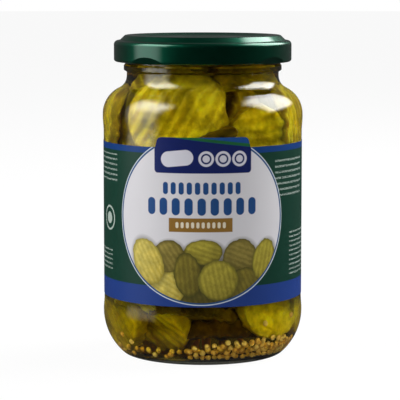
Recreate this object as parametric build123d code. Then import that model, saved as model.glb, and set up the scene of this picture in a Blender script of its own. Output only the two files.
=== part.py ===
from build123d import *
from math import asin, cos, degrees, radians, sin, tan
import os

# A round glass jar of pickled cucumber slices, shut by a twist-off metal lid.
# Millimetres. The jar stands on Z = 0, its axis is Z and its label faces -Y.

# ---- glass body ----
glass_height = 118.75
body_radius = 37.3          # the two bands that touch a neighbouring jar
wall = 2.6                  # body, shoulder and neck wall
heel_height = 16.3          # the heel curve meets the straight wall here
heel_radius = 21.1
foot_radius = 2.9           # tight curve from the heel into the foot ring
foot_ring_width = 2.6       # flat ring that the jar stands on
push_up = 2.6               # rise of the underside at its centre
floor_thickness = 3.6       # glass under the contents, at the centre
floor_dome_radius = 110.0
floor_round = 4.0           # inside corner between the floor and the heel
lower_band = 0.9            # straight wall between the heel and the first ramp
upper_band = 1.8            # straight wall between the second ramp and the shoulder
band_ramp = 3.8             # height of the slope from a band into the panel
panel_recess = 0.3          # the label panel lies this far inside the bands
ramp_blend = 18.0           # radius that rounds both ends of a ramp
shoulder_turn = 64.0        # degrees that the shoulder leans in from upright
shoulder_radius = 10.7
neck_curve_radius = 5.0     # hollow curve from the shoulder into the neck
neck_radius = 28.3
neck_length = 1.5           # straight neck under the bead

# ---- glass finish, the part that the lid grips ----
finish_height = 10.25       # from the top of the bead to the rim
finish_step = 0.6           # the threaded wall stands out this far from the neck
rim_round = 0.9
bead_height = 3.0
bead_depth = 1.1            # the bead stands out this far from the neck
bead_slope = 0.7            # height of the bead's two sloped edges
thread_count = 4
thread_depth = 1.3          # the threads stand out this far from the finish
thread_section = 1.3        # radius of a thread's round section
thread_arc = 86.0           # degrees that one thread covers
thread_rise = 3.0           # climb of one thread from end to end

# ---- lid ----
lid_sheet = 0.3
bead_gap = 0.75             # from the bead up to the lid's lower edge
thread_gap = 0.7            # from the threads out to the curl
curl_width = 2.14           # rolled lower edge of the skirt
curl_round = 0.95
curl_end_gap = 0.25         # from the end of the rolled edge back to the skirt
shoulder_round = 1.5        # corner between the lid's step and its skirt
step_drop = 1.95            # from the sealing ring down to the step
step_width = 2.1
crest_round = 0.95          # corner of the sealing ring
channel_margin = 0.4        # the sealing ring reaches this far inside the mouth
ring_ramp = 1.4             # width of the slope from the ring to the centre panel
lid_panel_drop = 0.6        # centre panel below the sealing ring
button_radius = 9.5
button_ramp = 2.2
button_drop = 0.35          # the vacuum holds the button this much lower
small_round = 0.6           # hollow corners pressed into the lid
lug_angle = -39.0           # first lug, in degrees from the front towards +X
lug_bite = 0.85             # how far a lug reaches in under its thread
lug_tip_half_width = 6.0
lug_press_depth = 1.05      # the rolled edge is pressed in this far at a lug
lug_press_height = 2.5
lug_clearance = 0.15        # from a lug up to its thread
lug_place = 0.25            # where along its thread a lug sits, from the low end

# ---- label ----
label_thickness = 0.12
label_low_margin = 1.7      # bare panel below the label
label_high_margin = 0.4     # bare panel above the label's tab
label_seam = 3.0            # bare strip at the back, between the label's ends
tab_height = 3.7            # rounded tab above the label's upper edge
tab_half_width = 17.1
tab_lean = 1.0              # each side of the tab leans in this far
tab_round = 1.6

# ---- brine ----
headspace = 7.6             # from the rim down to the liquid

# ---- sizes that follow from the ones above ----
panel_radius = body_radius - panel_recess
inner_radius = body_radius - wall
mouth_radius = neck_radius - wall
finish_radius = neck_radius + finish_step
bead_radius = neck_radius + bead_depth
bead_top = glass_height - finish_height
bead_bottom = bead_top - bead_height
neck_bottom = bead_bottom - neck_length
brine_level = glass_height - headspace

# The two curves of the shoulder are eased where the body is hardly wider than the neck.
shoulder_span = body_radius - neck_radius
curve_span = (shoulder_radius + neck_curve_radius) * (1 - cos(radians(shoulder_turn)))
ease = 1.0 if shoulder_span > curve_span else 0.9 * shoulder_span / curve_span
eased_shoulder = shoulder_radius * ease
eased_neck_curve = neck_curve_radius * ease
corner_share = tan(radians(shoulder_turn / 2))
neck_corner = neck_bottom - eased_neck_curve * corner_share
shoulder_corner = neck_corner - shoulder_span / tan(radians(shoulder_turn))
shoulder_height = shoulder_corner - eased_shoulder * corner_share

lower_band_top = heel_height + lower_band
panel_bottom = lower_band_top + band_ramp
panel_top = shoulder_height - upper_band - band_ramp
label_bottom = panel_bottom + label_low_margin
tab_top = panel_top - label_high_margin
label_top = tab_top - tab_height

thread_radius = finish_radius + thread_depth
lid_radius = thread_radius + thread_gap + curl_width
lid_top = glass_height + lid_sheet
lid_bottom = bead_top + bead_gap
curl_top = lid_bottom + curl_width
lug_top = lid_bottom + lug_press_height
lug_count = thread_count


def lathe(face):
    """Solid turned about Z from a face drawn as (radius, height)."""
    return revolve(Plane.XZ * face, Axis.Z, 360)


def around(shape, count, first_angle):
    """Copies of a shape set evenly around Z, the first turned by an angle."""
    return [Rot(0, 0, first_angle + 360 / count * k) * shape for k in range(count)]


def glass_outside():
    """Half section of the jar's outer form, from the foot ring to the rim."""
    foot_turn = degrees(asin((heel_height - foot_radius) / (heel_radius - foot_radius)))
    heel_centre = body_radius - heel_radius
    foot_centre = heel_centre + (heel_radius - foot_radius) * cos(radians(foot_turn))
    foot = CenterArc((foot_centre, foot_radius), foot_radius, -90, 90 - foot_turn)
    heel = CenterArc((heel_centre, heel_height), heel_radius, -foot_turn, foot_turn)
    side = FilletPolyline(
        (body_radius, heel_height),
        (body_radius, lower_band_top),
        (panel_radius, panel_bottom),
        (panel_radius, panel_top),
        (body_radius, panel_top + band_ramp),
        (body_radius, shoulder_corner),
        (neck_radius, neck_corner),
        (neck_radius, neck_bottom),
        radius=[ramp_blend] * 4 + [eased_shoulder, eased_neck_curve],
    )
    finish = FilletPolyline(
        (neck_radius, neck_bottom),
        (neck_radius, bead_bottom),
        (bead_radius, bead_bottom + bead_slope),
        (bead_radius, bead_top - bead_slope),
        (finish_radius, bead_top),
        (finish_radius, glass_height),
        (0, glass_height),
        radius=[bead_slope / 3] * 4 + [rim_round],
    )
    axis_line = Line((0, glass_height), (0, 0))
    ring_line = Line((0, 0), (foot_centre, 0))
    section = make_face([foot, heel, side, finish, axis_line, ring_line])
    # The pushed-up underside leaves a flat ring to stand on.
    ring_inner = foot_centre - foot_ring_width
    under_radius = (ring_inner**2 + push_up**2) / (2 * push_up)
    return section - Pos(0, push_up - under_radius) * Circle(under_radius)


def glass_inside():
    """Half section of the hollow, from the domed floor to above the rim."""
    inner_drop = wall * corner_share
    heel_centre = body_radius - heel_radius
    heel_inner = heel_radius - wall
    heel = CenterArc((heel_centre, heel_height), heel_inner, -90, 90)
    side = FilletPolyline(
        (inner_radius, heel_height),
        (inner_radius, shoulder_corner - inner_drop),
        (mouth_radius, neck_corner - inner_drop),
        (mouth_radius, glass_height + lid_sheet),
        radius=[eased_shoulder - wall, eased_neck_curve + wall],
    )
    top_line = Line(side @ 1, (0, glass_height + lid_sheet))
    axis_line = Line((0, glass_height + lid_sheet), (0, heel_height - heel_inner))
    low_line = Line((0, heel_height - heel_inner), heel @ 0)
    section = make_face([heel, side, top_line, axis_line, low_line])
    dome_centre = push_up + floor_thickness - floor_dome_radius
    section -= Pos(0, dome_centre) * Circle(floor_dome_radius)
    floor_edge = section.vertices().filter_by(lambda v: v.X > foot_radius).sort_by(Axis.Y)[0]
    return fillet(floor_edge, floor_round)


def glass_thread():
    """One thread about Z: part of a ring on a tilted axis, with round ends."""
    ring_radius = thread_radius - thread_section
    half_arc = thread_arc / 2
    tilt = degrees(asin(thread_rise / 2 / (ring_radius * sin(radians(half_arc)))))
    section = Plane.XZ * (Pos(ring_radius, 0) * Circle(thread_section))
    start = Rot(0, 0, -90 - half_arc)
    pieces = [start * revolve(section, Axis.Z, thread_arc)]
    for end in (-half_arc, half_arc):
        pieces.append(Rot(0, 0, end - 90) * Pos(ring_radius, 0, 0) * Sphere(thread_section))
    return [Rot(0, -tilt, 0) * piece for piece in pieces]


def make_glass_jar():
    """The jar: one piece of pressed and blown glass, open at its mouth."""
    rim_edge = (mouth_radius, glass_height)
    section = glass_outside() - glass_inside()
    corner = section.vertices().sort_by_distance((*rim_edge, 0))[0]
    jar = lathe(fillet(corner, rim_round))
    # Each thread runs over its lug, clear of the lug's lower-thread side.
    half_arc = thread_arc / 2
    from_middle = half_arc * (1 - 2 * lug_place)
    lug_side = from_middle + degrees(asin(lug_tip_half_width / thread_radius))
    drop = thread_rise / 2 * sin(radians(lug_side)) / sin(radians(half_arc))
    middle = lug_top + lug_clearance + thread_section + drop
    for piece in glass_thread():
        raised = Pos(0, 0, middle) * piece
        jar += around(raised, thread_count, lug_angle + from_middle)
    return jar


def make_brine():
    """The liquid and all that is sunk in it, up to its level."""
    section = glass_inside()
    above = Pos(0, brine_level) * Rectangle(
        4 * body_radius, 4 * headspace, align=(Align.CENTER, Align.MIN)
    )
    return lathe(section - above)


def bent_sheet(corners, rounds, thickness):
    """Section of a sheet bent along a line of corners, on the line's right."""
    steps = [Vector(*b) - Vector(*a) for a, b in zip(corners, corners[1:])]
    ways = [step.normalized() for step in steps]
    rights = [Vector(way.Y, -way.X) for way in ways]
    inner = [Vector(*corners[0]) + rights[0] * thickness]
    inner_rounds = []
    for k, corner in enumerate(corners[1:-1]):
        both = rights[k] + rights[k + 1]
        reach = thickness / (1 + rights[k].dot(rights[k + 1]))
        inner.append(Vector(*corner) + both * reach)
        turns_right = ways[k].cross(ways[k + 1]).Z < 0
        inner_rounds.append(rounds[k] + (-thickness if turns_right else thickness))
    inner.append(Vector(*corners[-1]) + rights[-1] * thickness)
    near = FilletPolyline(*corners, radius=rounds)
    far = FilletPolyline(*inner, radius=inner_rounds)
    ends = [Line(near @ 0, far @ 0), Line(near @ 1, far @ 1)]
    return make_face([*near.edges(), *far.edges(), *ends])


def lid_shell():
    """The lid without its lugs: one pressed sheet with a rolled lower edge."""
    panel = lid_top - lid_panel_drop
    step = lid_top - step_drop
    ring_inner = mouth_radius - channel_margin
    curl_inner = lid_radius - curl_width
    corners = [
        (0, panel - button_drop),
        (button_radius - button_ramp, panel - button_drop),
        (button_radius, panel),
        (ring_inner - ring_ramp, panel),
        (ring_inner, lid_top),
        (finish_radius, lid_top),
        (lid_radius - step_width, step),
        (lid_radius, step),
        (lid_radius, lid_bottom),
        (curl_inner, lid_bottom),
        (curl_inner, curl_top),
        (lid_radius - lid_sheet - curl_end_gap, curl_top),
    ]
    rounds = [small_round] * 4 + [crest_round, small_round, shoulder_round]
    rounds += [curl_round] * 3
    return lathe(bent_sheet(corners, rounds, lid_sheet))


def lug_body():
    """One lug at the front: the rolled edge pressed flat and pushed inwards."""
    wide = lid_radius * sin(radians(20))
    tip = thread_radius - lug_bite
    shape = make_face(
        Polyline(
            (-wide, -lid_radius),
            (wide, -lid_radius),
            (lug_tip_half_width, -tip * cos(radians(15))),
            (-lug_tip_half_width, -tip * cos(radians(15))),
            close=True,
        )
    )
    shape = (shape & Circle(lid_radius - lid_sheet / 2)) - Circle(tip)
    low = lid_bottom + lid_sheet / 2
    return Pos(0, 0, low) * extrude(shape, lug_top - low)


def lug_press():
    """The tool that presses one lug in: it leaves a flat arch on the skirt."""
    slope = lug_press_depth / lug_press_height
    low = lid_bottom - 1
    high = lug_top + 1
    face = make_face(
        Polyline(
            (-lid_radius + lug_press_depth + slope, low),
            (-lid_radius - slope, high),
            (-lid_radius - 3, high),
            (-lid_radius - 3, low),
            close=True,
        )
    )
    return extrude(Plane.YZ * face, lid_radius / 2, both=True)


def make_lid():
    """The twist-off lid: lacquered tinplate with lugs pressed into its edge."""
    lid = lid_shell() + around(lug_body(), lug_count, lug_angle)
    return lid - around(lug_press(), lug_count, lug_angle)


def make_label():
    """Paper wrapped round the panel, with a tab at the front, bare at the back."""
    outer = panel_radius + label_thickness
    ring = Circle(outer) - Circle(panel_radius)
    band = Pos(0, 0, label_bottom) * extrude(ring, label_top - label_bottom)
    seam = Pos(0, outer, (label_bottom + label_top) / 2) * Box(
        label_seam, outer, 2 * (label_top - label_bottom)
    )
    tab_sheet = Pos(0, 0, label_bottom) * extrude(ring, tab_top - label_bottom)
    tab_shape = FilletPolyline(
        (-tab_half_width, label_bottom),
        (-tab_half_width, label_top),
        (-tab_half_width + tab_lean, tab_top),
        (tab_half_width - tab_lean, tab_top),
        (tab_half_width, label_top),
        (tab_half_width, label_bottom),
        radius=[tab_round] * 4,
    )
    tab_face = make_face([*tab_shape.edges(), Line(tab_shape @ 1, tab_shape @ 0)])
    tab = tab_sheet & extrude(Plane.XZ * tab_face, 2 * outer)
    return band - seam + tab


nodes = {
    "glass_jar": make_glass_jar(),
    "brine": make_brine(),
    "lid": make_lid(),
    "label": make_label(),
}

os.makedirs("parts", exist_ok=True)
for name, solid in nodes.items():
    export_step(solid, f"parts/{name}.step")
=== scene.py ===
import bmesh
import bpy
import math
import random
from mathutils import Matrix, Vector
from mathutils.bvhtree import BVHTree


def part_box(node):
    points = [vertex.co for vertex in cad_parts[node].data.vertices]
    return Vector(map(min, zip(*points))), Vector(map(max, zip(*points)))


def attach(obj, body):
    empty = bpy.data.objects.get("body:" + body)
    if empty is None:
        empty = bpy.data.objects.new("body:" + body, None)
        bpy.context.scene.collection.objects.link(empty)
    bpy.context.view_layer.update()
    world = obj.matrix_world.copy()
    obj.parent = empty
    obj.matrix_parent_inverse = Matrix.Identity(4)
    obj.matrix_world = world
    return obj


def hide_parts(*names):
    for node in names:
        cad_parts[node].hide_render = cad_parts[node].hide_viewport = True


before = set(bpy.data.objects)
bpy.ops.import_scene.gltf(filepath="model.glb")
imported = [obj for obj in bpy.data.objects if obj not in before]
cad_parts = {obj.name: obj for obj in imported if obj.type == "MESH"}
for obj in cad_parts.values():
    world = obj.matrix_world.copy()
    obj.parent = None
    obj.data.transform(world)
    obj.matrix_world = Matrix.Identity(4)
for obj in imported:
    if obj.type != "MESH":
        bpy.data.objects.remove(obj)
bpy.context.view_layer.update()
MM = 0.001


# ---- Jar ----
# A pressed and blown jar of clear soda-lime glass, one wall from foot ring to rim.
# The mould leaves slow ripples in the wall that bend what is seen through it.

def colour(code):
    """Linear colour of an sRGB hex value."""
    shares = [int(code[k:k + 2], 16) / 255 for k in (1, 3, 5)]
    linear = [c / 12.92 if c <= 0.04045 else ((c + 0.055) / 1.055) ** 2.4 for c in shares]
    return (*linear, 1.0)


def add(material, kind, links=None, **settings):
    """Adds one node to a material, with its settings and what its inputs take. Inputs
    go by name or number: a mix of colours has its share at 0 and its colours at 6 and 7."""
    node = material.node_tree.nodes.new(kind)
    for name, value in settings.items():
        setattr(node, name, value)
    for socket, value in (links or {}).items():
        if isinstance(value, bpy.types.NodeSocket):
            material.node_tree.links.new(value, node.inputs[socket])
        else:
            node.inputs[socket].default_value = value
    return node


def new_material(name):
    """An empty material with its output node."""
    material = bpy.data.materials.new(name)
    material.use_nodes = True
    material.node_tree.nodes.clear()
    return material, add(material, "ShaderNodeOutputMaterial")


def wire(material, source, target):
    material.node_tree.links.new(source, target)


def clear_to_lamps(material, output, surface):
    """Lets lamps shine through a clear surface, as they do through real glass."""
    path = add(material, "ShaderNodeLightPath")
    open_way = add(material, "ShaderNodeBsdfTransparent")
    both = add(material, "ShaderNodeMixShader", {
        0: path.outputs["Is Shadow Ray"], 1: surface, 2: open_way.outputs[0]})
    wire(material, both.outputs[0], output.inputs["Surface"])


# Container glass: clear with a trace of green, fire-polished, so it is mirror smooth.
glass, output = new_material("soda_lime_glass_fire_polished")
place = add(glass, "ShaderNodeTexCoord").outputs["Object"]
ripple_length = 14 * MM
ripple = add(glass, "ShaderNodeTexNoise", {
    "Vector": place, "Scale": 1 / ripple_length, "Detail": 1.0})
ripple_bump = add(glass, "ShaderNodeBump", {
    "Strength": 0.35, "Distance": 0.12 * MM, "Height": ripple.outputs["Fac"]})
glass_surface = add(glass, "ShaderNodeBsdfPrincipled", {
    "Base Color": colour("#F7FCF8"), "Roughness": 0.0, "IOR": 1.52,
    "Transmission Weight": 1.0, "Normal": ripple_bump.outputs[0]})
clear_to_lamps(glass, output, glass_surface.outputs[0])
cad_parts["glass_jar"].material_slots[0].material = glass


# ---- Brine ----
# Vinegar brine with salt and spice juice: a thin olive-gold liquid that wets the glass.
# It fills the jar to the neck, and its outline reaches a little way into the wall.

wet_overlap = 0.2 * MM
body_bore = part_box("brine")[1].x
brine_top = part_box("brine")[1].z
neck_bore = 25.7 * MM
heel_top = 16.3 * MM
heel_bore = 18.5 * MM
floor_middle = 6.2 * MM
floor_dome = 110 * MM
trough_round = 4 * MM
shoulder_foot = 94.86 * MM
neck_foot = 99.25 * MM
shoulder_bend = 8.1 * MM
neck_bend = 7.6 * MM
meniscus = 0.7 * MM
round_steps = 144


def arc(centre, radius, start, turn, steps):
    """Points along an arc, with its angles in degrees from +X towards +Z."""
    turns = [math.radians(start + turn * k / steps) for k in range(steps + 1)]
    return [centre + radius * Vector((math.cos(t), math.sin(t))) for t in turns]


def rounded(corners, radii, steps=8):
    """An outline through corners, with an arc of the given radius at each inner one."""
    points = [Vector(corners[0])]
    for before, corner, after, radius in zip(corners, corners[1:], corners[2:], radii):
        corner = Vector(corner)
        back = (Vector(before) - corner).normalized()
        ahead = (Vector(after) - corner).normalized()
        half = back.angle(ahead) / 2
        centre = corner + (back + ahead).normalized() * radius / math.sin(half)
        from_end = corner + back * radius / math.tan(half) - centre
        to_end = corner + ahead * radius / math.tan(half) - centre
        start = math.degrees(math.atan2(from_end.y, from_end.x))
        turn = math.degrees(math.atan2(to_end.y, to_end.x)) - start
        turn = (turn + 180) % 360 - 180
        points += arc(centre, radius, start, turn, steps)
    return points + [Vector(corners[-1])]


heel_centre = Vector((body_bore - heel_bore, heel_top))


def inside_outline(grow):
    """Outline of the jar's hollow from the middle of its floor up to the brine's edge."""
    dome_centre = Vector((0, floor_middle - floor_dome))
    dome = floor_dome - grow
    # The floor meets the heel in a rounded trough, whose centre lies on both offset arcs.
    round_dome = floor_dome + trough_round
    round_heel = heel_bore - trough_round
    gap = heel_centre - dome_centre
    along = (round_dome ** 2 - round_heel ** 2 + gap.length ** 2) / (2 * gap.length)
    aside = math.sqrt(round_dome ** 2 - along ** 2)
    way = gap.normalized()
    trough = dome_centre + way * along + Vector((way.y, -way.x)) * aside
    floor_angle = math.degrees(math.atan2(*(trough - dome_centre).yx))
    wall_angle = math.degrees(math.atan2(*(trough - heel_centre).yx))
    points = arc(dome_centre, dome, 90, floor_angle - 90, 8)
    points += arc(trough, trough_round + grow, floor_angle - 180,
                  wall_angle - floor_angle + 180, 6)
    points += arc(heel_centre, heel_bore + grow, wall_angle, -wall_angle, 14)[1:]
    side = rounded([
        (body_bore + grow, heel_top), (body_bore + grow, shoulder_foot),
        (neck_bore + grow, neck_foot), (neck_bore + grow, brine_top)],
        [shoulder_bend + grow, neck_bend - grow])
    return points + side[1:]


def start_piece(primitive, name, **settings):
    """Adds a primitive as the only selected object, in edit mode."""
    bpy.ops.object.select_all(action="DESELECT")
    primitive(**settings)
    piece = bpy.context.active_object
    piece.name = name
    piece.data.name = name
    bpy.ops.object.mode_set(mode="EDIT")
    return piece


def turned(name, outline, steps):
    """A closed piece turned about Z: one corner drawn out along an outline and spun."""
    piece = start_piece(bpy.ops.mesh.primitive_plane_add, name, size=MM)
    bpy.ops.mesh.merge(type="CENTER")
    bpy.ops.transform.translate(value=(outline[0].x, 0, outline[0].y))
    for here, there in zip(outline, outline[1:]):
        step = there - here
        bpy.ops.mesh.extrude_vertices_move(
            TRANSFORM_OT_translate={"value": (step.x, 0, step.y)})
    bpy.ops.mesh.select_all(action="SELECT")
    bpy.ops.mesh.spin(steps=steps, angle=math.tau, center=(0, 0, 0), axis=(0, 0, 1))
    bpy.ops.mesh.select_all(action="SELECT")
    bpy.ops.mesh.remove_doubles(threshold=0.01 * MM)
    bpy.ops.mesh.normals_make_consistent(inside=False)
    bpy.ops.object.mode_set(mode="OBJECT")
    bpy.ops.object.shade_smooth_by_angle(angle=math.radians(50))
    return piece


# The liquid climbs the glass in a small meniscus round its edge.
surface_edge = neck_bore + wet_overlap
climb = arc(Vector((surface_edge - 2 * meniscus, brine_top + 2 * meniscus)),
            2 * meniscus, -30, -60, 5)
brine_outline = inside_outline(wet_overlap) + climb + [Vector((0, brine_top))]
brine_piece = turned("brine_body", brine_outline, round_steps)

# Spiced pickling liquid: it takes the blue out of light, and more so the deeper it is.
# A metre of it would take 15 parts of red, 23 of green and 144 of blue.
brine, output = new_material("pickling_brine_clear")
liquid = add(brine, "ShaderNodeBsdfPrincipled", {
    "Base Color": colour("#FBF7E4"), "Roughness": 0.0, "IOR": 1.34,
    "Transmission Weight": 1.0})
clear_to_lamps(brine, output, liquid.outputs[0])
depth_tint = add(brine, "ShaderNodeVolumeAbsorption", {
    "Color": (0.925, 0.885, 0.28, 1.0), "Density": 200.0})
wire(brine, depth_tint.outputs[0], output.inputs["Volume"])
brine_piece.data.materials.append(brine)
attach(brine_piece, "root")
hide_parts("brine")


# ---- Pickle slices ----
# Pickled cucumber cut with a waved blade, so both faces carry straight ridges.
# The slices stand against the glass and lean on each other in the middle of the jar.

ridge_pitch = 3.9 * MM
ridge_height = 0.44 * MM
slice_thickness = 5.0 * MM
slice_reach = 16 * MM
cross_cut = 7.5 * MM
wall_clearance = 0.25 * MM
surface_clearance = 1.5 * MM
trough_foot = 3.2 * MM


def pick(test):
    """Selects the vertices that pass a test, and what they make up."""
    mesh = bmesh.from_edit_mesh(bpy.context.active_object.data)
    mesh.select_mode = {"VERT"}
    for corner in mesh.verts:
        corner.select = test(corner.co)
    mesh.select_flush_mode()
    mesh.select_flush(True)
    bmesh.update_edit_mesh(bpy.context.active_object.data)


def cut_slice(name, width, length, level, shape):
    """One slice, flat on XY, with its ridges along Y. The shape number makes it uneven."""
    piece = start_piece(bpy.ops.mesh.primitive_cylinder_add, name, vertices=28,
                        radius=slice_reach, depth=slice_thickness, end_fill_type="NGON")
    bpy.ops.transform.resize(value=(width, length, 1))
    lines = int(slice_reach * width / (ridge_pitch / 2))
    for k in range(-lines, lines + 1):
        bpy.ops.mesh.select_all(action="SELECT")
        bpy.ops.mesh.bisect(plane_co=(k * ridge_pitch / 2, 0, 0), plane_no=(1, 0, 0))
    for k in range(-2, 3):
        bpy.ops.mesh.select_all(action="SELECT")
        bpy.ops.mesh.bisect(plane_co=(0, k * cross_cut, 0), plane_no=(0, 1, 0))
    # Smoothing keeps a third of an alternating wave, so the corners of the ridges and the
    # grooves move apart by three times the height from groove to ridge.
    for k in range(-lines, lines + 1):
        rise = 1.5 * ridge_height * (1 if k % 2 else -1)
        pick(lambda co: abs(co.x - k * ridge_pitch / 2) < 0.05 * MM)
        bpy.ops.transform.translate(value=(0, 0, rise))
    bpy.ops.mesh.select_mode(type="EDGE")
    mesh = bmesh.from_edit_mesh(piece.data)
    for edge in mesh.edges:
        rims = [abs(face.normal.z) < 0.5 for face in edge.link_faces]
        edge.select = sum(rims) == 1
    bmesh.update_edit_mesh(piece.data)
    bpy.ops.transform.edge_crease(value=0.55)
    bpy.ops.mesh.select_mode(type="VERT")
    bpy.ops.object.mode_set(mode="OBJECT")
    lumps = bpy.data.textures.new(name + "_lumps", "CLOUDS")
    lumps.noise_scale = 10 * MM
    pocks = bpy.data.textures.new(name + "_pocks", "CLOUDS")
    pocks.noise_scale = 3.2 * MM
    # The clouds lie still, so a slice shaped at another place gets lumps of its own.
    piece.location = (shape * 40 * MM, 0, 0)
    bpy.ops.object.modifier_add(type="SUBSURF")
    piece.modifiers[-1].levels = level
    piece.modifiers[-1].render_levels = level
    # The skin wanders in and out, the ridges bend, and the cut faces are lumpy and pocked.
    for texture, way, strength in ((lumps, "X", 2.4), (lumps, "Y", 2.4),
                                   (lumps, "NORMAL", 1.8), (pocks, "NORMAL", 1.2)):
        bpy.ops.object.modifier_add(type="DISPLACE")
        piece.modifiers[-1].texture = texture
        piece.modifiers[-1].texture_coords = "GLOBAL"
        piece.modifiers[-1].direction = way
        piece.modifiers[-1].strength = strength * MM
    for modifier in list(piece.modifiers):
        bpy.ops.object.modifier_apply(modifier=modifier.name)
    piece.location = (0, 0, 0)
    bpy.ops.object.shade_smooth()
    # The cut face's own map: 0.5, 0.5 at its middle and 1 out at its skin.
    face_map = piece.data.uv_layers["UVMap"]
    for loop, spot in zip(piece.data.loops, face_map.data):
        co = piece.data.vertices[loop.vertex_index].co
        spot.uv = (0.5 + 0.5 * co.x / (slice_reach * width),
                   0.5 + 0.5 * co.y / (slice_reach * length))
    return piece


wall_line = inside_outline(-wall_clearance)


def bore_at(height):
    """Radius of the room inside the glass at a height."""
    for low, high in zip(wall_line, wall_line[1:]):
        if high.x > neck_bore - MM and low.y <= height <= high.y:
            share = (height - low.y) / max(high.y - low.y, 1e-9)
            return low.x + (high.x - low.x) * share
    return neck_bore - wall_clearance


def floor_at(radius):
    """Height of the jar's floor at a radius."""
    return floor_middle - radius ** 2 / (2 * floor_dome) + wall_clearance


def settle(points):
    """Slides points in from the wall, up from the floor and down from the lid."""
    shift = Vector((0, 0, 0))
    for _ in range(40):
        worst, push = 0.0, None
        for point in points:
            spot = point + shift
            radius = math.hypot(spot.x, spot.y)
            out = radius - bore_at(max(spot.z, trough_foot))
            if out > worst:
                worst, push = out, Vector((-spot.x, -spot.y, 0)) / radius
            low = floor_at(radius) - spot.z
            if low > worst:
                worst, push = low, Vector((0, 0, 1))
            high = spot.z - (brine_top - surface_clearance)
            if high > worst:
                worst, push = high, Vector((0, 0, -1))
        if push is None:
            break
        shift += push * worst
    return shift


def around(turn, radius, height):
    """A place round the jar's axis. The turn is in degrees, from the front towards +X."""
    angle = math.radians(turn)
    return Vector((radius * math.sin(angle), -radius * math.cos(angle), height))


def stood(turn, reach, height, lean, swing, spin):
    """Places a slice: turn round the jar, reach from its axis, height, and three tilts."""
    spot = around(turn, reach, height)
    turn, lean, swing, spin = (math.radians(a) for a in (turn, lean, swing, spin))
    upright = Matrix.Rotation(math.radians(90) + lean, 4, "X")
    return (Matrix.Translation(spot) @ Matrix.Rotation(turn + swing, 4, "Z")
            @ upright @ Matrix.Rotation(spin, 4, "Z"))


# Each kind: share of the full reach across and along the ridges. The last is an offcut.
# The slices at the front are smoothed twice, and those behind them once.
slice_kinds = [(1.05, 1.1), (0.92, 1.0), (0.86, 0.9), (1.02, 0.93), (0.24, 0.6)]
fine_slices = [cut_slice(f"fine_slice_{k}", *kind, 2, k)
               for k, kind in enumerate(slice_kinds)]
plain_slices = [cut_slice(f"plain_slice_{k}", *kind, 1, k + 5)
                for k, kind in enumerate(slice_kinds)]

# The slices that show at the front, as they lie: kind, turn, reach, height, lean,
# swing, spin (millimetres and degrees) and how olive the flesh is, from 0 to 1.
# The share is partly the pickled colour and partly painted shade: the two low slices
# in the middle get high shares, which darken them where little light reaches.
front_slices = [
    (0, -22.5, 27, 90, -22, 3, -25, 0.05),
    (3, 44, 28, 76.5, -7, -6, 95, 0.0),
    (4, 6.5, 31, 81.8, 0, 3, -62, 0.92),
    (2, 50, 20, 80, -14, 6, 50, 0.54),
    (1, -101, 29, 84, -9, 0, 70, 0.06),
    (3, 92, 30, 84, -8, 0, 20, 0.03),
    (2, -50, 20, 84, -10, 12, 0, 0.36),
    (2, -48, 15, 97, -6, 25, 10, 0.33),
    (2, 58, 15, 98, -8, -20, 60, 0.21),
    (1, 58, 29, 24, 8, -6, 55, 0.06),
    (2, -52, 24, 14, 50, 0, 30, 0.03),
    # Painted shade: a high olive share darkens this low slice in the middle.
    (1, -12, 17, 17.5, 74, -4, 5, 0.80),
    (3, -80, 27, 21, 14, 8, 45, 0.24),
    (2, 96, 28, 24, 8, 0, 15, 0.24),
    # Painted shade: a high olive share darkens this low slice in the middle.
    (2, 30, 10, 12, 86, 0, 0, 0.95),
]
draw = random.Random(7)
laid = []
trees = []


def tree_of(mesh):
    """A mesh's faces, ready to be asked what they touch."""
    return BVHTree.FromPolygons([v.co for v in mesh.vertices],
                                [p.vertices[:] for p in mesh.polygons])


def marked(mesh, name, value):
    """Gives a mesh one value all over, for its material to read."""
    mark = mesh.attributes.new(name, "FLOAT", "POINT")
    mark.data.foreach_set("value", [value] * len(mesh.vertices))


def put(name, data):
    """Adds an object to the scene."""
    thing = bpy.data.objects.new(name, data)
    bpy.context.scene.collection.objects.link(thing)
    return thing


def lay(masters, kind, place, olive, must):
    """Copies a slice to its place, unless it may be left out and would cut another."""
    mesh = masters[kind].data.copy()
    mesh.transform(place)
    mesh.transform(Matrix.Translation(settle([v.co for v in mesh.vertices][::3])))
    tree = tree_of(mesh)
    if not must and any(tree.overlap(other) for other in trees):
        bpy.data.meshes.remove(mesh)
        return
    marked(mesh, "olive", olive)
    laid.append(put(mesh.name, mesh))
    trees.append(tree)


def joined(name, copies):
    """Joins copies into one piece."""
    bpy.ops.object.select_all(action="DESELECT")
    for copy in copies:
        copy.select_set(True)
    bpy.context.view_layer.objects.active = copies[0]
    bpy.ops.object.join()
    piece = bpy.context.active_object
    piece.name = name
    return piece


for kind, turn, reach, height, lean, swing, spin, olive in front_slices:
    lay(fine_slices, kind, stood(turn, reach * MM, height * MM, lean, swing, spin),
        olive, must=True)

# The rest lean where there is room: two tries in three by the wall, one in the middle.
for attempt in range(900):
    by_wall = attempt % 3 < 2
    place = stood(draw.uniform(0, 360),
                  (draw.uniform(20, 29) if by_wall else draw.uniform(0, 18)) * MM,
                  draw.uniform(14, 98) * MM, draw.uniform(-25, 25),
                  draw.uniform(-20, 20) if by_wall else draw.uniform(-90, 90),
                  draw.uniform(0, 180))
    lay(plain_slices, draw.randrange(len(slice_kinds) - 1), place,
        draw.uniform(0.1, 0.5), must=False)

for master in fine_slices + plain_slices:
    bpy.data.objects.remove(master)
slices = joined("pickle_slices", laid)

# Pickled cucumber: soft, wet, half-clear flesh round paler seeds, with an olive skin.
cucumber, output = new_material("pickled_cucumber_cut")
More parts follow.
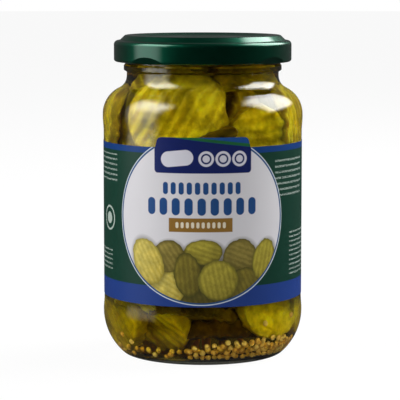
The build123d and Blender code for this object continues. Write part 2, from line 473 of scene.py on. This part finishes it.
# It reads the cut face's own map, so that seed bed, flesh and skin follow each slice.
face_map = add(cucumber, "ShaderNodeUVMap", uv_map="UVMap").outputs[0]
centred = add(cucumber, "ShaderNodeMapping", {
    "Vector": face_map, "Location": (-1.0, -1.0, 0.0), "Scale": (2.0, 2.0, 1.0)})
place = add(cucumber, "ShaderNodeTexCoord").outputs["Object"]
# The olive share: the flesh's pickled colour, and painted shade on two low slices.
olive = add(cucumber, "ShaderNodeAttribute", attribute_name="olive").outputs["Fac"]
blotch = add(cucumber, "ShaderNodeTexNoise", {
    "Vector": place, "Scale": 1 / (7 * MM), "Detail": 4.0, "Roughness": 0.6})
from_middle = add(cucumber, "ShaderNodeVectorMath", {0: centred.outputs[0]},
                  operation="LENGTH").outputs["Value"]
blotch_reach = 0.22
uneven = add(cucumber, "ShaderNodeMath", {
    0: blotch.outputs["Fac"], 1: blotch_reach, 2: from_middle}, operation="MULTIPLY_ADD")
# Across a slice: seed bed, flesh, and the thin skin at the rim.
zones = add(cucumber, "ShaderNodeValToRGB")
zone_stops = [(0.0, "#E4D034"), (0.45, "#D6C22C"), (0.62, "#EEDC3C"), (0.97, "#DCC62E"),
              (1.05, "#94781E"), (1.1, "#5C4212")]
ramp = zones.color_ramp
ramp.elements[0].color = colour(zone_stops[0][1])
ramp.elements[1].position = 1.0
ramp.elements[1].color = colour(zone_stops[-1][1])
for share, code in zone_stops[1:-1]:
    ramp.elements.new(share / zone_stops[-1][0]).color = colour(code)
zone_share = add(cucumber, "ShaderNodeMath", {
    0: uneven.outputs[0], 1: 1 / (1 + blotch_reach)}, operation="MULTIPLY")
wire(cucumber, zone_share.outputs[0], zones.inputs["Fac"])
# Its own pale seeds lie about 3.6 mm apart round the middle of the cut face.
seed_cells = add(cucumber, "ShaderNodeTexVoronoi", {
    "Vector": centred.outputs[0], "Scale": 4.5, "Randomness": 0.8})
seed_edge = add(cucumber, "ShaderNodeMapRange", {
    "Value": seed_cells.outputs["Distance"], "From Min": 0.16, "From Max": 0.30,
    "To Min": 1.0, "To Max": 0.0}, interpolation_type="SMOOTHSTEP")
seed_bed = add(cucumber, "ShaderNodeMapRange", {
    "Value": from_middle, "From Min": 0.5, "From Max": 0.66,
    "To Min": 0.55, "To Max": 0.0}, interpolation_type="SMOOTHSTEP")
seed_share = add(cucumber, "ShaderNodeMath", {
    0: seed_edge.outputs[0], 1: seed_bed.outputs[0]}, operation="MULTIPLY")
seeded = add(cucumber, "ShaderNodeMix", {
    0: seed_share.outputs[0], 6: zones.outputs["Color"], 7: colour("#F4E680")},
    data_type="RGBA")
fibres = add(cucumber, "ShaderNodeTexNoise", {
    "Vector": place, "Scale": 1 / (1.8 * MM), "Detail": 4.0, "Roughness": 0.6})
# Flecks of clearer yellow flesh.
flecks = add(cucumber, "ShaderNodeMapRange", {
    "Value": fibres.outputs["Fac"], "From Min": 0.5, "From Max": 0.72,
    "To Min": 0.0, "To Max": 0.7})
flecked = add(cucumber, "ShaderNodeMix", {
    0: flecks.outputs[0], 6: seeded.outputs[2], 7: colour("#FFE93C")}, data_type="RGBA")
# Pickling leaves some slices a dull olive, each by its own share. The same share is
# also painted shade on the two low slices in the middle of the jar.
cooked = add(cucumber, "ShaderNodeMix", {
    0: olive, 6: colour("#FFFFFF"), 7: colour("#5E4A2E")}, data_type="RGBA")
flesh = add(cucumber, "ShaderNodeMix", {
    0: 1.0, 6: flecked.outputs[2], 7: cooked.outputs[2]},
    data_type="RGBA", blend_type="MULTIPLY")
patchy = add(cucumber, "ShaderNodeMapRange", {
    "Value": blotch.outputs["Fac"], "From Min": 0.33, "From Max": 0.67,
    "To Min": 0.44, "To Max": 1.4})
shaded = add(cucumber, "ShaderNodeMix", {
    0: 1.0, 6: flesh.outputs[2], 7: patchy.outputs[0]},
    data_type="RGBA", blend_type="MULTIPLY")
fibre_bump = add(cucumber, "ShaderNodeBump", {
    "Strength": 0.6, "Distance": 0.6 * MM, "Height": fibres.outputs["Fac"]})
wet_flesh = add(cucumber, "ShaderNodeBsdfPrincipled", {
    "Base Color": shaded.outputs[2], "Roughness": 0.32, "IOR": 1.2,
    "Subsurface Weight": 0.7, "Subsurface Radius": (1.0, 0.8, 0.2),
    "Subsurface Scale": 4.0 * MM, "Normal": fibre_bump.outputs[0]})
wire(cucumber, wet_flesh.outputs[0], output.inputs["Surface"])
slices.data.materials.clear()
slices.data.materials.append(cucumber)
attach(slices, "root")


# ---- Mustard seeds ----
# Whole yellow mustard seeds, about 2 mm across, that sank to the trough of the floor.
# They lie deep on the right of the jar and in a thin row on the left.

seed_size = 2.2 * MM
row_depth = 1.8 * MM
pile_height = 7.0 * MM
pile_turn = 34
trough_slope = -48
tries_per_layer = 5200
seed_piece = start_piece(bpy.ops.mesh.primitive_uv_sphere_add, "mustard_seeds",
                         segments=10, ring_count=6, radius=seed_size / 2)
bpy.ops.mesh.select_all(action="SELECT")
bpy.ops.transform.resize(value=(1.0, 0.92, 0.96))
pick(lambda co: co.z > 0.4 * seed_size)
bpy.ops.transform.resize(value=(0.6, 0.6, 1.0))
bpy.ops.object.mode_set(mode="OBJECT")
bpy.ops.object.shade_smooth()
seed_mesh = seed_piece.data

seed_spots = []
slice_tree = tree_of(slices.data)


def pile_depth(turn):
    """How far the seeds climb the heel at a turn from the front."""
    away = min(abs(turn - pile_turn) * 1.9, 180)
    near_pile = 0.5 + 0.5 * math.cos(math.radians(away))
    return row_depth + pile_height * near_pile ** 1.3


seed_draw = random.Random(11)
for layer in range(2):
    for _ in range(tries_per_layer):
        turn = seed_draw.uniform(-180, 180)
        climb_share = seed_draw.uniform(-0.35, 1)
        up = climb_share * pile_depth(turn)
        if layer and climb_share > 0.75:
            continue
        # Few lie at the left and at the back.
        if (abs(turn) > 140 or turn < -8) and seed_draw.random() > 0.02:
            continue
        # Angle down the heel's arc from level, from the trough up.
        slope = math.radians(trough_slope) + up / heel_bore
        inset = heel_bore - seed_size * (0.52 + 0.8 * layer)
        radius = heel_centre.x + inset * math.cos(slope)
        height = heel_centre.y + inset * math.sin(slope)
        height = max(height, floor_at(radius) + seed_size * (0.5 + 0.8 * layer))
        spot = around(turn, radius, height)
        if any((spot - other).length < 0.97 * seed_size for other in seed_spots):
            continue
        if slice_tree.find_nearest(spot, seed_size / 2)[0] is not None:
            continue
        seed_spots.append(spot)
# A few stuck to the glass higher up: turn in degrees and height in millimetres.
for turn, up in ((41, 15), (67, 16), (62, 9), (-52, 8), (-70, 6), (-60, 10), (75, 8)):
    seed_spots.append(around(turn, bore_at(up * MM) - seed_size * 0.5, up * MM))

copies = []
for spot in seed_spots:
    mesh = seed_mesh.copy()
    turn = Matrix.Rotation(seed_draw.uniform(0, math.tau), 4,
                           Vector([seed_draw.gauss(0, 1) for _ in range(3)]))
    size = seed_draw.uniform(0.86, 1.02)
    mesh.transform(Matrix.Translation(spot) @ turn @ Matrix.Scale(size, 4))
    marked(mesh, "tone", seed_draw.random())
    copies.append(put("seed", mesh))
bpy.data.objects.remove(seed_piece)
seeds = joined("mustard_seeds", copies)

# Mustard seed coat: dry-looking tan husk, a little different on every seed.
husk, output = new_material("mustard_seed_husk")
tone = add(husk, "ShaderNodeAttribute", attribute_name="tone").outputs["Fac"]
husk_tone = add(husk, "ShaderNodeValToRGB", {"Fac": tone})
husk_tone.color_ramp.elements[0].color = colour("#DCA440")
husk_tone.color_ramp.elements[1].color = colour("#FAD678")
place = add(husk, "ShaderNodeTexCoord").outputs["Object"]
pits = add(husk, "ShaderNodeTexNoise", {"Vector": place, "Scale": 1 / (0.5 * MM)})
pit_bump = add(husk, "ShaderNodeBump", {
    "Strength": 0.4, "Distance": 0.08 * MM, "Height": pits.outputs["Fac"]})
seed_coat = add(husk, "ShaderNodeBsdfPrincipled", {
    "Base Color": husk_tone.outputs["Color"], "Roughness": 0.45, "IOR": 1.2,
    "Normal": pit_bump.outputs[0]})
wire(husk, seed_coat.outputs[0], output.inputs["Surface"])
seeds.data.materials.clear()
seeds.data.materials.append(husk)
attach(seeds, "root")


# ---- Label ----
# Coated paper wrapped round the jar and glued, with a rounded tab cut at its front.
# The print is flat inks: green ground, blue edges, a pale disc and drawn slices on it.

paper_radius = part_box("label")[1].x
label_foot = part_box("label")[0].z / MM
shoulder_line = 80.1
upper_edge = 2.2
lower_edge = 7.1

inks, output = new_material("coated_label_paper_printed")
place = add(inks, "ShaderNodeTexCoord").outputs["Object"]
axes = add(inks, "ShaderNodeSeparateXYZ", {0: place})
toward = add(inks, "ShaderNodeMath", {0: axes.outputs["Y"], 1: -1.0}, operation="MULTIPLY")
turn = add(inks, "ShaderNodeMath", {0: axes.outputs["X"], 1: toward.outputs[0]},
           operation="ARCTAN2")
across = add(inks, "ShaderNodeMath", {0: turn.outputs[0], 1: paper_radius / MM},
             operation="MULTIPLY").outputs[0]
height = add(inks, "ShaderNodeMath", {0: axes.outputs["Z"], 1: 1 / MM},
             operation="MULTIPLY").outputs[0]
# The label rolled out flat, in millimetres: X across from the front's middle, Y up.
flat = add(inks, "ShaderNodeCombineXYZ", {"X": across, "Y": height}).outputs[0]
ink_edge = 0.09


def local(middle, tilt=0.0, scale=(1, 1)):
    """The flat label seen from a shape's own middle, tilt and scale."""
    return add(inks, "ShaderNodeMapping", {
        "Vector": flat, "Location": (*middle, 0), "Scale": (*scale, 1),
        "Rotation": (0, 0, math.radians(tilt))}, vector_type="TEXTURE").outputs[0]


def below(value, edge, soft):
    """1 where a value is under an edge and 0 over it, with a short soft step."""
    return add(inks, "ShaderNodeMapRange", {
        "Value": value, "From Min": edge - soft, "From Max": edge + soft,
        "To Min": 1.0, "To Max": 0.0}).outputs[0]


def overlap(first, second):
    """Ink where both shapes have it, or one shape's ink thinned to a share."""
    return add(inks, "ShaderNodeMath", {0: first, 1: second},
               operation="MULTIPLY").outputs[0]


def outside(shape):
    """Ink all round a shape."""
    return add(inks, "ShaderNodeMath", {0: 1.0, 1: shape}, operation="SUBTRACT").outputs[0]


def oval(middle, half, tilt=0.0, grow=0.0):
    """Ink inside an ellipse."""
    spot = local(middle, tilt, (half[0] + grow, half[1] + grow))
    reach = add(inks, "ShaderNodeVectorMath", {0: spot}, operation="LENGTH")
    return below(reach.outputs["Value"], 1.0, ink_edge / min(half))


def block(middle, half, corner, tilt=0.0):
    """Ink inside a rectangle with round corners."""
    spot = add(inks, "ShaderNodeVectorMath", {0: local(middle, tilt)},
               operation="ABSOLUTE").outputs[0]
    past = add(inks, "ShaderNodeVectorMath", {
        0: spot, 1: (half[0] - corner, half[1] - corner, 0)}, operation="SUBTRACT")
    kept = add(inks, "ShaderNodeVectorMath", {0: past.outputs[0]}, operation="MAXIMUM")
    reach = add(inks, "ShaderNodeVectorMath", {0: kept.outputs[0]}, operation="LENGTH")
    return below(reach.outputs["Value"], corner, ink_edge)


def repeat(value, pitch, start, share):
    """Bars across a value: ink over a share of each pitch."""
    moved = add(inks, "ShaderNodeMath", {0: value, 1: start}, operation="SUBTRACT")
    phase = add(inks, "ShaderNodeMath", {0: moved.outputs[0], 1: pitch},
                operation="FLOORED_MODULO").outputs[0]
    return below(phase, pitch * share, ink_edge)


def paint(under, shape, ink):
    """Prints an ink over what is under it. Each is a colour code or a print so far."""
    lower, upper = (colour(c) if isinstance(c, str) else c for c in (under, ink))
    return add(inks, "ShaderNodeMix", {0: shape, 6: lower, 7: upper},
               data_type="RGBA").outputs[2]


def ringed(under, middle, radii, ink, ground):
    """Prints discs in each other, in the ink and the ground's colour by turns."""
    for k, radius in enumerate(radii):
        under = paint(under, oval(middle, (radius, radius)), ground if k % 2 else ink)
    return under


# Ground and edge bands.
bottle_green = "#0F3F30"
sheet = paint(bottle_green, below(height, label_foot + lower_edge, ink_edge), "#1E3F8C")
top_band = outside(below(height, shoulder_line - upper_edge, ink_edge))
sheet = paint(sheet, top_band, "#023C82")

# Rows of thin dashes stand for small print at both sides and at the back.
dashes = add(inks, "ShaderNodeTexNoise", {
    "Vector": add(inks, "ShaderNodeVectorMath", {0: flat, 1: (1, 4, 1)},
                  operation="MULTIPLY").outputs[0], "Scale": 0.9, "Detail": 1.0})
dash = add(inks, "ShaderNodeMapRange", {
    "Value": dashes.outputs["Fac"], "From Min": 0.44, "From Max": 0.48})
print_rows = [  # middle, half size, pitch of the rows
    ((-46, 71.5), (9, 5.0), 1.9), ((-49, 37.5), (8, 4.0), 1.7),
    ((39, 68.5), (10, 7.0), 2.1), ((46, 40.0), (8, 8.0), 1.7),
    ((78, 60.0), (14, 12.0), 1.9), ((-80, 64.0), (13, 8.0), 1.9)]
for middle, half, pitch in print_rows:
    rows = repeat(height, pitch, middle[1] - half[1], 0.34)
    words = overlap(block(middle, half, 0.3), overlap(rows, dash.outputs[0]))
    sheet = paint(sheet, overlap(words, 0.7), "#BCCBC2")
# A ring as a plain mark on the left, and a striped field at the back.
sheet = ringed(sheet, (-43.5, 52.5), (4.6, 3.9, 2.2), "#B9C8BE", bottle_green)
sheet = paint(sheet, block((-80, 44), (11, 7.5), 0.8), "#E4E4E0")
bars = overlap(block((-80, 44), (9, 6), 0.1), repeat(across, 1.3, 0.0, 0.45))
sheet = paint(sheet, bars, "#20242A")

# The disc: a white line, a blue line and the pale field inside them.
disc_middle = (-0.7, 54.3)
disc_half = (33.3, 31.0)
sheet = paint(sheet, oval(disc_middle, disc_half), "#DDE8EE")
sheet = paint(sheet, oval(disc_middle, disc_half, grow=-0.32), "#244F86")
field = "#E6E4E8"

# Drawn slices: middle, half size, tilt, ridge tilt, light ink, dark ink, rim ink.
yellow = ("#DECD66", "#C0A83A", "#94862E")
olive_ink = ("#8E802C", "#685D1C", "#454416")
lime = ("#BFB03C", "#8F8224", "#5E5A1C")
drab = ("#A08F42", "#786A2A", "#544C1C")
drawn = [
    ((0, 24), (30, 14.5), 0, 20, ("#6E6424", "#4E4816", "#454416")),
    ((0.2, 42.6), (7.3, 4.6), 0, 72, lime),
    ((-12.6, 40.6), (6.4, 6.2), 20, 35, drab),
    ((13.8, 39.9), (6.9, 7.4), -12, 68, drab),
    ((-13.5, 28.5), (8.5, 6.2), 35, 60, yellow),
    ((15.5, 30.4), (7.5, 6.5), 10, 25, olive_ink),
    ((-21.0, 38.8), (6.2, 9.0), 27, 30, yellow),
    ((23.6, 39.4), (4.9, 7.6), -18, -12, lime),
    ((-5.4, 34.3), (5.2, 8.2), 8, 6, olive_ink),
    ((5.7, 32.4), (7.5, 7.5), 0, 12, lime),
]
# The flat label is in millimetres, so the print's grain is 1.1 mm and its clouds are 3 mm.
print_grain = add(inks, "ShaderNodeTexNoise", {
    "Vector": flat, "Scale": 0.9, "Detail": 3.0}).outputs["Fac"]
print_cloud = add(inks, "ShaderNodeTexNoise", {
    "Vector": flat, "Scale": 0.35, "Detail": 2.0}).outputs["Fac"]
clouded = add(inks, "ShaderNodeMapRange", {
    "Value": print_cloud, "From Min": 0.3, "From Max": 0.7, "To Min": 0.78, "To Max": 1.15})
for middle, half, tilt, ridge_tilt, (light, dark, rim) in drawn:
    # A soft shade under each slice sets it off from the ones behind.
    cast = add(inks, "ShaderNodeVectorMath", {
        0: local((middle[0] + 0.3, middle[1] - 0.3), tilt, half)}, operation="LENGTH")
    shade_ink = below(cast.outputs["Value"], 1.08, 0.12)
    field = paint(field, overlap(shade_ink, 0.55), "#4A4418")
    spot = local(middle, tilt, half)
    reach = add(inks, "ShaderNodeVectorMath", {0: spot}, operation="LENGTH")
    reach = add(inks, "ShaderNodeMath", {
        0: print_cloud, 1: 0.22, 2: reach.outputs["Value"]},
        operation="MULTIPLY_ADD").outputs[0]
    lanes = add(inks, "ShaderNodeSeparateXYZ", {0: local(middle, ridge_tilt)}).outputs["X"]
    wander = add(inks, "ShaderNodeMath", {0: print_grain, 1: 1.6, 2: lanes},
                 operation="MULTIPLY_ADD")
    wave = add(inks, "ShaderNodeMath", {0: wander.outputs[0], 1: 3.6}, operation="MULTIPLY")
    wave = add(inks, "ShaderNodeMath", {0: wave.outputs[0]}, operation="SINE")
    # Light falls from the upper left on each drawn slice.
    sides = add(inks, "ShaderNodeVectorMath", {0: spot, 1: (-0.5, 0.6, 0)},
                operation="DOT_PRODUCT")
    lit = add(inks, "ShaderNodeMath", {0: wave.outputs[0], 1: 0.5, 2: sides.outputs["Value"]},
              operation="MULTIPLY_ADD")
    ridge = add(inks, "ShaderNodeMapRange", {
        "Value": lit.outputs[0], "From Min": -1.1, "From Max": 0.9})
    flesh_ink = add(inks, "ShaderNodeMix", {
        0: ridge.outputs[0], 6: colour(dark), 7: colour(light)}, data_type="RGBA")
    mottled = add(inks, "ShaderNodeMix", {
        0: 1.0, 6: flesh_ink.outputs[2], 7: clouded.outputs[0]},
        data_type="RGBA", blend_type="MULTIPLY")
    skin = add(inks, "ShaderNodeMapRange", {
        "Value": reach, "From Min": 0.92, "From Max": 1.08, "To Max": 0.8})
    drawn_slice = paint(mottled.outputs[2], skin.outputs[0], rim)
    field = paint(field, below(reach, 1.09, 0.8 * ink_edge / min(half)), drawn_slice)
sheet = paint(sheet, oval(disc_middle, disc_half, grow=-0.95), field)


def gherkin_row(middle, tall, wide, pitch, count):
    """Ink inside a row of upright capsules."""
    spot = add(inks, "ShaderNodeSeparateXYZ", {0: local(middle)})
    moved = add(inks, "ShaderNodeMath", {0: spot.outputs["X"], 1: pitch * count / 2},
                operation="ADD")
    phase = add(inks, "ShaderNodeMath", {0: moved.outputs[0], 1: pitch},
                operation="FLOORED_MODULO")
    aside = add(inks, "ShaderNodeMath", {0: phase.outputs[0], 1: pitch / 2},
                operation="SUBTRACT")
    up = add(inks, "ShaderNodeMath", {0: spot.outputs["Y"]}, operation="ABSOLUTE")
    past = add(inks, "ShaderNodeMath", {0: up.outputs[0], 1: (tall - wide) / 2},
               operation="SUBTRACT")
    past = add(inks, "ShaderNodeMath", {0: past.outputs[0], 1: 0.0}, operation="MAXIMUM")
    away = add(inks, "ShaderNodeCombineXYZ", {"X": aside.outputs[0], "Y": past.outputs[0]})
    reach = add(inks, "ShaderNodeVectorMath", {0: away.outputs[0]}, operation="LENGTH")
    ends = block(middle, (pitch * count / 2, tall), 0.1)
    return overlap(ends, below(reach.outputs["Value"], wide / 2, ink_edge))


# Two rows of upright blue gherkins and an ochre bar stand where a name would be.
gherkin_blue = "#1D4E8C"
sheet = paint(sheet, gherkin_row((-0.4, 65.6), 4.4, 1.9, 2.95, 10), gherkin_blue)
sheet = paint(sheet, gherkin_row((-0.4, 59.0), 6.2, 3.0, 4.7, 9), gherkin_blue)
sheet = paint(sheet, block((-0.8, 52.4), (11.6, 2.5), 0.1), "#99702A")
sheet = paint(sheet, gherkin_row((-0.8, 52.4), 2.2, 1.1, 1.9, 10), "#F0E6CC")

# The navy badge on the tab, with a slanted corner and a drawn gherkin and its slices.
navy = "#0B1F66"
pale = "#E3E2EC"
slant = local((2, 82.2), -7)
slant_height = add(inks, "ShaderNodeSeparateXYZ", {0: slant}).outputs["Y"]
corner = outside(below(slant_height, 0, ink_edge))
badge = paint(navy, corner, "#14509A")
badge = paint(badge, overlap(corner, below(slant_height, 1.1, ink_edge)), "#1B6A3A")
badge = paint(badge, block((-9.4, 76.3), (6.0, 2.8), 2.8, 6), pale)
for k in range(3):
    badge = ringed(badge, (1.2 + 6.1 * k, 76.2), (2.8, 1.9, 1.3), pale, navy)
sheet = paint(sheet, block((0, 81), (18, 10), 1.3), badge)

# Satin varnish over the inks: a soft broad sheen, a little uneven like calendered paper.
mottle = add(inks, "ShaderNodeTexNoise", {"Vector": place, "Scale": 1 / (3 * MM)})
satin = add(inks, "ShaderNodeMapRange", {
    "Value": mottle.outputs["Fac"], "To Min": 0.34, "To Max": 0.46})
paper_bump = add(inks, "ShaderNodeBump", {
    "Strength": 0.15, "Distance": 0.05 * MM, "Height": mottle.outputs["Fac"]})
printed = add(inks, "ShaderNodeBsdfPrincipled", {
    "Base Color": sheet, "Roughness": satin.outputs[0], "IOR": 1.4,
    "Normal": paper_bump.outputs[0]})
wire(inks, printed.outputs[0], output.inputs["Surface"])
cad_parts["label"].material_slots[0].material = inks


# ---- Lid ----
# A pressed tinplate twist-off lid, stoved with dark green lacquer outside and gold
# lacquer inside, its rolled edge pressed into lugs that grip the glass thread.

curl_top = 112.5 * MM

# Stove lacquer on tinplate: a metal sheen seen through a clear glossy coat of green.
lacquer, output = new_material("tinplate_green_lacquer_gloss")
place = add(lacquer, "ShaderNodeTexCoord").outputs["Object"]
axes = add(lacquer, "ShaderNodeSeparateXYZ", {0: place})
facing = add(lacquer, "ShaderNodeNewGeometry").outputs["Normal"]
upward = add(lacquer, "ShaderNodeSeparateXYZ", {0: facing}).outputs["Z"]
under = add(lacquer, "ShaderNodeMath", {0: upward, 1: -0.3}, operation="LESS_THAN")
above_curl = add(lacquer, "ShaderNodeMath", {0: axes.outputs["Z"], 1: curl_top},
                 operation="GREATER_THAN")
inner = add(lacquer, "ShaderNodeMath", {0: under.outputs[0], 1: above_curl.outputs[0]},
            operation="MULTIPLY")
# Lacquer flows a little as it is stoved, which leaves an orange-peel skin.
peel = add(lacquer, "ShaderNodeTexNoise", {
    "Vector": place, "Scale": 1 / (1.5 * MM), "Detail": 2.0})
peel_bump = add(lacquer, "ShaderNodeBump", {
    "Strength": 0.12, "Distance": 0.03 * MM, "Height": peel.outputs["Fac"]})
shade = add(lacquer, "ShaderNodeTexNoise", {"Vector": place, "Scale": 1 / (9 * MM)})
green = add(lacquer, "ShaderNodeMix", {
    0: shade.outputs["Fac"], 6: colour("#004A34"), 7: colour("#005A42")},
    data_type="RGBA")
both_sides = add(lacquer, "ShaderNodeMix", {
    0: inner.outputs[0], 6: green.outputs[2], 7: colour("#B08A3C")}, data_type="RGBA")
stoved = add(lacquer, "ShaderNodeBsdfPrincipled", {
    "Base Color": both_sides.outputs[2], "Metallic": 0.88, "Roughness": 0.36,
    "Coat Weight": 1.0, "Coat Roughness": 0.075, "Normal": peel_bump.outputs[0]})
wire(lacquer, stoved.outputs[0], output.inputs["Surface"])
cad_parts["lid"].material_slots[0].material = lacquer


# ---- Floor, light and camera ----
# A sweep of white paper in a white room, with a large soft box at each side, a soft fill
# in front and a low strip of light at the foot of the jar.

floor_piece = start_piece(bpy.ops.mesh.primitive_circle_add, "floor", vertices=96,
                          radius=6.0, fill_type="NGON")
bpy.ops.object.mode_set(mode="OBJECT")
# White background paper: matt, with a glow that only the camera sees, which leaves the
# jar's shadow on it.
paper, output = new_material("white_sweep_paper")
path = add(paper, "ShaderNodeLightPath")
matt = add(paper, "ShaderNodeBsdfDiffuse", {"Color": colour("#BCBCBC")})
glow = add(paper, "ShaderNodeEmission", {"Color": colour("#FFFFFF"), "Strength": 1.1})
seen = add(paper, "ShaderNodeMath", {0: path.outputs["Is Camera Ray"], 1: 0.85},
           operation="MULTIPLY")
blend = add(paper, "ShaderNodeMixShader", {
    0: seen.outputs[0], 1: matt.outputs[0], 2: glow.outputs[0]})
wire(paper, blend.outputs[0], output.inputs["Surface"])
floor_piece.data.materials.append(paper)
floor_piece.visible_glossy = False
floor_piece.visible_transmission = False

world = bpy.data.worlds.new("studio")
bpy.context.scene.world = world
world.use_nodes = True
world.node_tree.nodes.clear()
output = add(world, "ShaderNodeOutputWorld")
path = add(world, "ShaderNodeLightPath")
way = add(world, "ShaderNodeTexCoord").outputs["Generated"]
axes = add(world, "ShaderNodeSeparateXYZ", {0: way})
# What the glass and the brine let through: a bright wall behind and pale paper beneath.
behind = add(world, "ShaderNodeMapRange", {
    "Value": axes.outputs["Y"], "From Min": -0.35, "From Max": 0.4,
    "To Min": 0.04, "To Max": 0.9})
beneath = add(world, "ShaderNodeMapRange", {
    "Value": axes.outputs["Z"], "From Min": -0.18, "From Max": -0.42,
    "To Min": 0.0, "To Max": 0.65})
room = add(world, "ShaderNodeMath", {0: behind.outputs[0], 1: beneath.outputs[0]},
           operation="MAXIMUM")
through = add(world, "ShaderNodeBackground", {"Strength": room.outputs[0]})
# What glossy skins mirror: the same room, but dim, and dimmer under the horizon.
dim_behind = add(world, "ShaderNodeMapRange", {
    "Value": axes.outputs["Y"], "From Min": 0.1, "From Max": 0.6,
    "To Min": 0.01, "To Max": 0.10})
dim_beneath = add(world, "ShaderNodeMapRange", {
    "Value": axes.outputs["Z"], "From Min": -0.35, "From Max": -0.7,
    "To Min": 0.0, "To Max": 0.05})
horizon = add(world, "ShaderNodeMapRange", {
    "Value": axes.outputs["Z"], "From Min": -0.1, "From Max": 0.04,
    "To Min": 0.6, "To Max": 1.0})
dim_wall = add(world, "ShaderNodeMath", {0: dim_behind.outputs[0], 1: horizon.outputs[0]},
               operation="MULTIPLY")
dim_room = add(world, "ShaderNodeMath", {
    0: dim_wall.outputs[0], 1: dim_beneath.outputs[0]}, operation="MAXIMUM")
mirrored = add(world, "ShaderNodeBackground", {"Strength": dim_room.outputs[0]})
# All other light from the room is a faint even fill, and the camera sees plain white.
fill = add(world, "ShaderNodeBackground", {"Color": colour("#FFFFFF"), "Strength": 0.08})
white = add(world, "ShaderNodeBackground", {"Color": colour("#FFFFFF"), "Strength": 1.0})
lighting = add(world, "ShaderNodeMixShader", {
    0: path.outputs["Is Transmission Ray"], 1: fill.outputs[0], 2: through.outputs[0]})
shining = add(world, "ShaderNodeMixShader", {
    0: path.outputs["Is Glossy Ray"], 1: lighting.outputs[0], 2: mirrored.outputs[0]})
everything = add(world, "ShaderNodeMixShader", {
    0: path.outputs["Is Camera Ray"], 1: shining.outputs[0], 2: white.outputs[0]})
wire(world, everything.outputs[0], output.inputs["Surface"])


def soft_box(name, turn, height, distance, width, tall, power, low=1.0, high=1.0,
             edge=0.25, aim_height=60 * MM):
    """A rectangular lamp that faces the jar from a turn (towards +X) and a height in
    degrees. Low and high are how bright its lower and upper parts are, and edge is how
    far from its middle it starts to fade, where its rim is at a half."""
    aim = Vector((0, 0, aim_height))
    height = math.radians(height)
    way = around(turn, math.cos(height), math.sin(height))
    lamp = bpy.data.lights.new(name, "AREA")
    lamp.shape = "RECTANGLE"
    lamp.size, lamp.size_y, lamp.energy = width, tall, power
    holder = put(name, lamp)
    holder.location = aim + way * distance
    holder.rotation_euler = (-way).to_track_quat("-Z", "Y").to_euler()
    holder.visible_camera = False
    # The box is brightest in its middle and fades towards its edges.
    lamp.use_nodes = True
    lamp.node_tree.nodes.clear()
    output = add(lamp, "ShaderNodeOutputLight")
    spot = add(lamp, "ShaderNodeNewGeometry").outputs["Parametric"]
    centred = add(lamp, "ShaderNodeVectorMath", {0: spot, 1: (0.5, 0.5, 0)},
                  operation="SUBTRACT").outputs[0]
    size = add(lamp, "ShaderNodeVectorMath", {0: centred}, operation="ABSOLUTE").outputs[0]
    edges = add(lamp, "ShaderNodeSeparateXYZ", {0: size})
    outer = add(lamp, "ShaderNodeMath", {0: edges.outputs["X"], 1: edges.outputs["Y"], 2: 0.2},
                operation="SMOOTH_MAX")
    fade = add(lamp, "ShaderNodeMapRange", {
        "Value": outer.outputs[0], "From Min": edge, "From Max": 0.52,
        "To Min": 1.0, "To Max": 0.0}, interpolation_type="SMOOTHSTEP")
    rise = add(lamp, "ShaderNodeSeparateXYZ", {0: spot})
    level = add(lamp, "ShaderNodeMapRange", {
        "Value": rise.outputs["Y"], "From Min": 0.35, "From Max": 0.8,
        "To Min": low, "To Max": high}, interpolation_type="SMOOTHSTEP")
    strength = add(lamp, "ShaderNodeMath", {0: fade.outputs[0], 1: level.outputs[0]},
                   operation="MULTIPLY")
    beam = add(lamp, "ShaderNodeEmission", {"Strength": strength.outputs[0]})
    wire(lamp, beam.outputs[0], output.inputs["Surface"])
    return holder


soft_box("left_soft_box", turn=-76, height=24, distance=1.0, width=1.0, tall=1.5,
         power=32, low=0.28, high=0.90)
soft_box("right_soft_box", turn=112, height=40, distance=1.0, width=1.1, tall=0.9,
         power=19.5, edge=0.32)
front_fill = soft_box("front_fill", turn=8, height=8, distance=1.5, width=1.4, tall=1.2,
                      power=4.1)
# A low strip of light, as the paper in front of the jar would send into its foot.
low_fill = soft_box("low_fill", turn=22, height=0, distance=0.16, width=0.085, tall=0.017,
                    power=0.0020, edge=0.40, aim_height=11.5 * MM)
low_fill.data.spread = math.radians(5)
for soft_light in (front_fill, low_fill):
    soft_light.visible_glossy = False
    soft_light.visible_transmission = False

lens = bpy.data.cameras.new("camera")
lens.lens = 174.9
lens.sensor_width = 36
lens.clip_start = 0.01
camera = put("camera", lens)
looks_down = 6.776
camera.location = (-0.00100, -0.725, 0.1433)
camera.rotation_euler = (math.radians(90 - looks_down), 0, 0)
bpy.context.scene.camera = camera
bpy.context.scene.view_settings.view_transform = "Standard"
